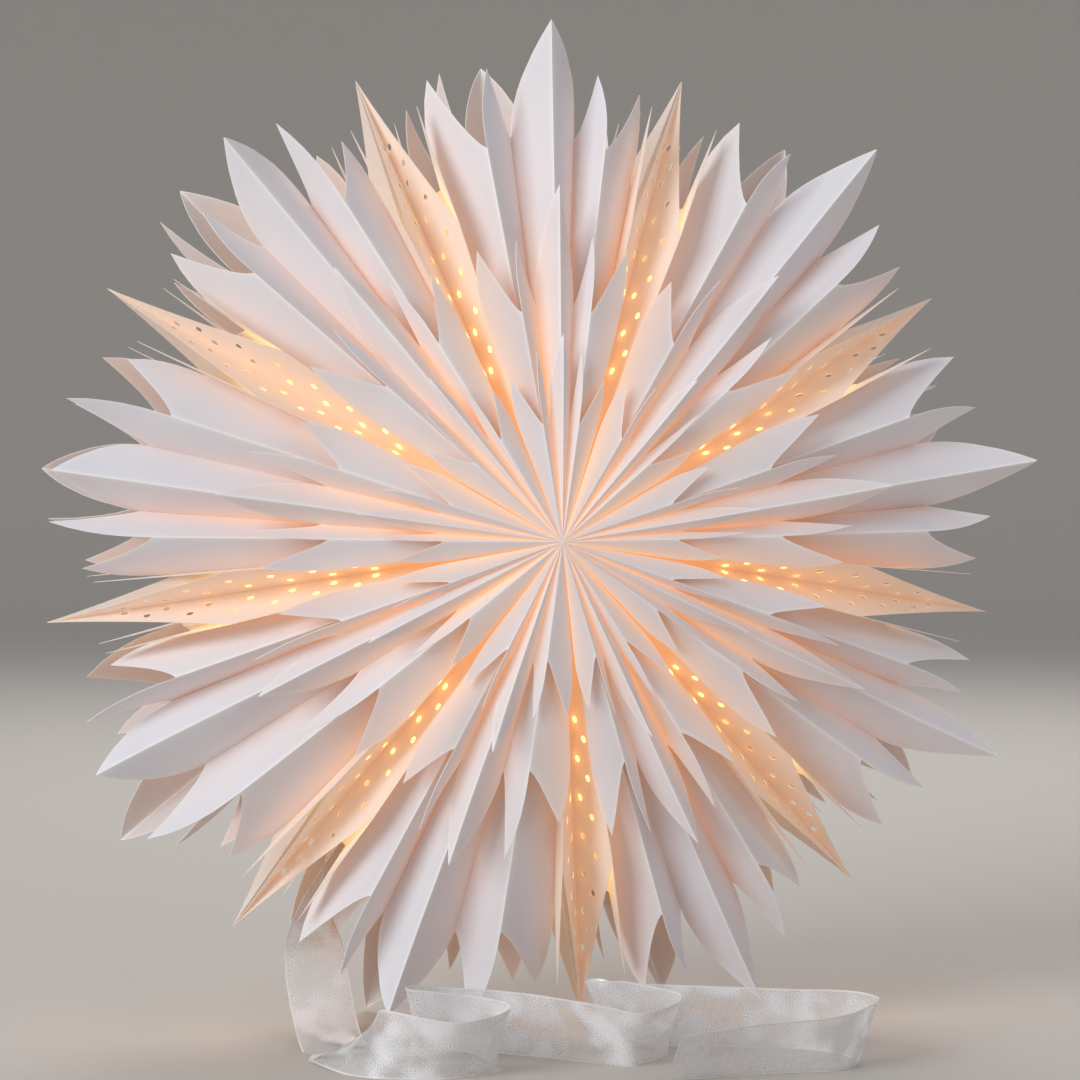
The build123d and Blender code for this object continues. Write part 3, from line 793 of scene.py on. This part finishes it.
def ribbon_strip(steps_per_place, columns):
    """The ribbon as a grid: the route with its width laid across it, square to the route."""
    wall = point_angles[RIBBON_POINT] + POINT_HALF_WIDTH
    beside = np.cross(ray(wall, 0), [0, 1, 0]) * ((PAPER + RIBBON_THICKNESS) / 2 + GLUE_GAP)
    tab = [ray(wall, 0) * (WALL_R - setback) + beside for setback in TAB_SETBACKS]
    widths = unit(RIBBON_LOOPS[:, 3:])
    heights = ground + GROUND_GAP + RIBBON_LOOPS[:, 2] / 1000 + RIBBON_WIDTH / 2 * np.abs(widths[:, 2])
    loops = np.column_stack([RIBBON_LOOPS[:, :2] / 1000, heights])
    places = np.concatenate([tab, RIBBON_DROP[:, :3] / 1000, loops])
    widths = np.concatenate([[(0, 1, 0)] * 2, unit(RIBBON_DROP[:, 3:]), widths])
    steps = np.linspace(0, len(places) - 1, (len(places) - 1) * steps_per_place + 1)
    middle = smooth(places, steps)
    along = unit(np.gradient(middle, axis=0))
    across = smooth(widths, steps)
    across = unit(across - np.sum(across * along, axis=1, keepdims=True) * along)
    length = np.concatenate([[0], np.cumsum(np.linalg.norm(np.diff(middle, axis=0), axis=1))])
    share = np.linspace(-1, 1, columns)
    grid = middle[:, None] + across[:, None] * (share * RIBBON_WIDTH / 2)[None, :, None]
    facts = dict(across=np.broadcast_to(share, grid.shape[:2]),
                 along=np.broadcast_to(length[:, None], grid.shape[:2]))
    return grid, facts, length[-1]


# %% Sheer organza
organza, tree, output = new_material("organza")
link = tree.links.new
shader = node(tree, "ShaderNodeBsdfPrincipled", inputs={
    "Base Color": (0.96, 0.96, 0.97, 1.0), "Roughness": 0.30, "Specular IOR Level": 0.7, "Sheen Weight": 0.4})
across = node(tree, "ShaderNodeAttribute", attribute_name="across")
along = node(tree, "ShaderNodeAttribute", attribute_name="along")
selvedge = node(tree, "ShaderNodeMath", operation="ABSOLUTE")
link(across.outputs["Fac"], selvedge.inputs[0])
hem = ramp(tree, [(0.0, (0.22, 0.22, 0.22)), (0.93, (0.26, 0.26, 0.26)), (0.965, (0.85, 0.85, 0.85)),
                  (1.0, (0.90, 0.90, 0.90))], selvedge.outputs[0])
place = node(tree, "ShaderNodeCombineXYZ")
link(across.outputs["Fac"], place.inputs["X"])
link(along.outputs["Fac"], place.inputs["Y"])
stretch = node(tree, "ShaderNodeMapping", inputs={"Scale": (19.0, 1000.0, 1.0)})
link(place.outputs["Vector"], stretch.inputs["Vector"])
# sparkle specks and shimmer patches make the white cloth more opaque along the ribbon: painted highlights, on
# top of the real denser hem
sparkle = node(tree, "ShaderNodeTexNoise", inputs={"Scale": 1.4, "Detail": 2.0})
link(stretch.outputs["Vector"], sparkle.inputs["Vector"])
shimmer = node(tree, "ShaderNodeTexNoise", inputs={"Scale": 0.045, "Detail": 1.0})
link(stretch.outputs["Vector"], shimmer.inputs["Vector"])
patches = ramp(tree, [(0.42, (0.0, 0.0, 0.0)), (0.66, (0.44, 0.44, 0.44))], shimmer.outputs["Fac"])
glint_noise = node(tree, "ShaderNodeMath", operation="ADD")
link(sparkle.outputs["Fac"], glint_noise.inputs[0])
link(patches.outputs["Color"], glint_noise.inputs[1])
glint = ramp(tree, [(0.54, (0.0, 0.0, 0.0)), (0.90, (0.75, 0.75, 0.75))], glint_noise.outputs[0])
cover = node(tree, "ShaderNodeMath", operation="ADD", use_clamp=True)
link(hem.outputs["Color"], cover.inputs[0])
link(glint.outputs["Color"], cover.inputs[1])
link(cover.outputs[0], shader.inputs["Alpha"])
link(shader.outputs["BSDF"], output.inputs["Surface"])
print("ribbon cloth:", organza.name)

# %% The ribbon's strip
grid, facts, ribbon_length = ribbon_strip(16, 13)
strip = paper_sheet(grid, facts, RIBBON_THICKNESS)
ribbon = make_piece("sheer_ribbon", [strip], [organza, organza], sharp=60)
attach(ribbon, "root")
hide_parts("ribbon")
print("ribbon length:", round(ribbon_length, 3), "m")

# %% [markdown]
# ## Studio
# A pale floor that curves up into a round backdrop on all sides, so that every view has the same plain
# background. It is a surface of revolution: one profile turned round the vertical axis. A large soft key
# stands at the left, as on the real star, with a soft fill at the right and one behind. The camera is a
# little left of the star's axis.

# %% Floor and backdrop
FLOOR_R = 4.5
SWEEP_R = 2.0
WALL_TOP = 3.2
backdrop, tree, output = new_material("studio_backdrop")
shader = node(tree, "ShaderNodeBsdfPrincipled", inputs={
    "Base Color": (0.64, 0.60, 0.55, 1.0), "Roughness": 0.95, "Specular IOR Level": 0.1})
tree.links.new(shader.outputs["BSDF"], output.inputs["Surface"])
sweep = np.linspace(0, np.pi / 2, 14)
profile = np.concatenate([
    [(0.001, 0.0), (1.5, 0.0), (3.0, 0.0)],
    np.column_stack([FLOOR_R + SWEEP_R * np.sin(sweep), SWEEP_R - SWEEP_R * np.cos(sweep)]),
    [(FLOOR_R + SWEEP_R, WALL_TOP)]])
turn = np.linspace(0, 2 * np.pi, 65)
studio = np.stack([np.outer(profile[:, 0], np.cos(turn)), np.outer(profile[:, 0], np.sin(turn)),
                   np.broadcast_to(profile[:, 1:] + ground, (len(profile), len(turn)))], axis=-1)
mesh = bpy.data.meshes.new("studio_floor")
mesh.from_pydata(studio.reshape(-1, 3), [], grid_faces(*studio.shape[:2]).tolist())
mesh.shade_smooth()
mesh.materials.append(backdrop)
floor = bpy.data.objects.new("studio_floor", mesh)
bpy.context.scene.collection.objects.link(floor)
floor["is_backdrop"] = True
print("backdrop:", 2 * (FLOOR_R + SWEEP_R), "m across")


# %% Lights
LAMP_TARGET = np.array([0.0, -0.03, 0.0])


def soft_light(name, place, size, power, colour):
    """An area light at a place, turned towards the star."""
    data = bpy.data.lights.new(name, "AREA")
    data.size, data.energy, data.color = size, power, colour
    lamp = bpy.data.objects.new(name, data)
    lamp.location = place
    direction = LAMP_TARGET - np.array(place)
    lamp.rotation_euler = Vector(direction).to_track_quat("-Z", "Y").to_euler()
    bpy.context.scene.collection.objects.link(lamp)


soft_light("key_left", (-2.6, -1.7, 1.2), 1.7, 60, (0.95, 0.975, 1.0))
soft_light("fill_right", (1.8, -2.4, 1.2), 1.6, 9, (0.93, 0.95, 1.0))
soft_light("top_back", (0.6, 1.9, 1.7), 1.5, 24, (1.0, 0.98, 0.96))
world = bpy.data.worlds.new("studio_air")
world.use_nodes = True
world.node_tree.nodes["Background"].inputs["Color"].default_value = (0.86, 0.88, 0.94, 1.0)
world.node_tree.nodes["Background"].inputs["Strength"].default_value = 0.43
bpy.context.scene.world = world
bpy.context.scene.view_settings.view_transform = "Standard"
print("lamps:", [data.name for data in bpy.data.lights])

# %% Camera
AZIMUTH = -11.0
ELEVATION = 1.5
DISTANCE = 1.75
VIEW_WIDTH = 0.630
SENSOR = 36.0
IMAGE_SIZE = 1080
SHIFT_PIXELS = -6
target = Vector((0.0, -0.05, 0.0))
a, e = math.radians(AZIMUTH), math.radians(ELEVATION)
back = Vector((math.sin(a) * math.cos(e), -math.cos(a) * math.cos(e), math.sin(e)))
lens = bpy.data.cameras.new("photo_camera")
lens.sensor_width = SENSOR
lens.lens = SENSOR * DISTANCE / VIEW_WIDTH
lens.shift_x = SHIFT_PIXELS / IMAGE_SIZE
camera = bpy.data.objects.new("photo_camera", lens)
camera.location = target + back * DISTANCE
camera.rotation_euler = (-back).to_track_quat("-Z", "Y").to_euler()
bpy.context.scene.collection.objects.link(camera)
bpy.context.scene.camera = camera
print("lens:", round(lens.lens, 1), "mm")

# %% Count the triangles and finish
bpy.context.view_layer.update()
triangles = sum(len(p.vertices) - 2 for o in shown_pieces() for p in o.data.polygons)
print("triangles shown:", triangles)
